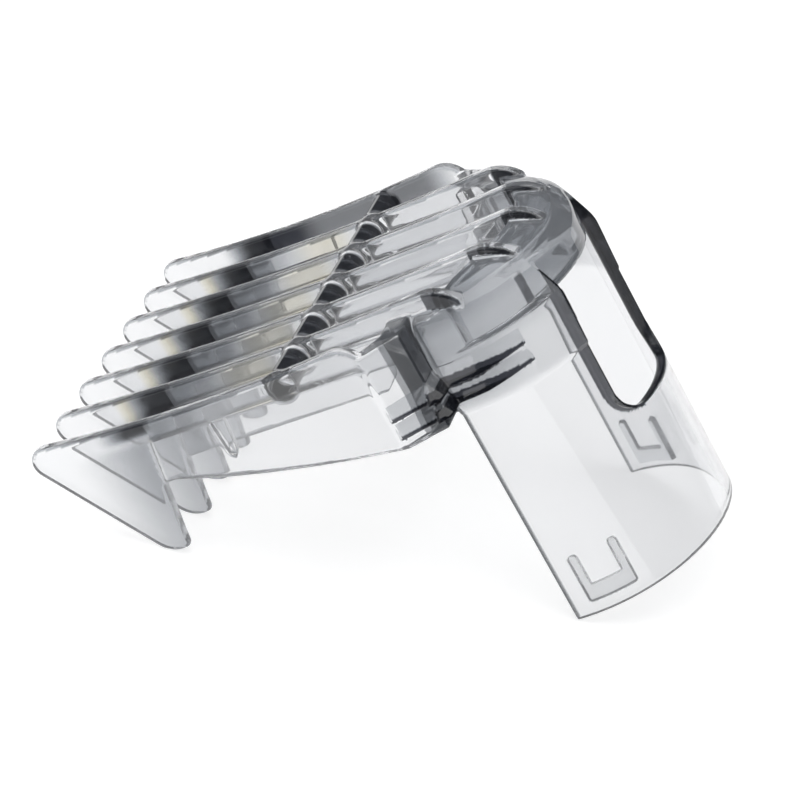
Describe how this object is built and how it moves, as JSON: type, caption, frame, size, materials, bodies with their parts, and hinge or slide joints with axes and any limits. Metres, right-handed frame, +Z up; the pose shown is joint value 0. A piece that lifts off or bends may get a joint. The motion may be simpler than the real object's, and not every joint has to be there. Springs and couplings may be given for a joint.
{
  "type": "hair clipper guide comb",
  "caption": "Clear smoke-grey clip-on guide comb for a hair clipper: hooked parallel teeth, arched collar with finger grips, and a half-tube sleeve with a slot window.",
  "frame": {"origin": "middle of the footprint's bounding box, on the surface it rests on", "axes": "+Z up, teeth point to -Y, sleeve to +Y, X across the comb; it rests on the chins of its beaks and the sleeve's two lower corners"},
  "size_m": [0.0448, 0.0752, 0.0408],
  "materials": {
    "smoke_clear_plastic": "polished"
  },
  "bodies": {
    "root": {"arch": "smoke_clear_plastic", "grip_lower_left": "smoke_clear_plastic", "grip_lower_right": "smoke_clear_plastic", "grip_upper_left": "smoke_clear_plastic", "grip_upper_right": "smoke_clear_plastic", "guide_rib_left": "smoke_clear_plastic", "guide_rib_right": "smoke_clear_plastic", "latch_left": "smoke_clear_plastic", "latch_right": "smoke_clear_plastic", "left_side_wall": "smoke_clear_plastic", "right_side_wall": "smoke_clear_plastic", "sleeve": "smoke_clear_plastic", "tie_rod": "smoke_clear_plastic", "tooth_1": "smoke_clear_plastic", "tooth_2": "smoke_clear_plastic", "tooth_3": "smoke_clear_plastic", "tooth_4": "smoke_clear_plastic", "tooth_5": "smoke_clear_plastic", "tooth_6": "smoke_clear_plastic", "tooth_7": "smoke_clear_plastic"}
  },
  "joints": []
}
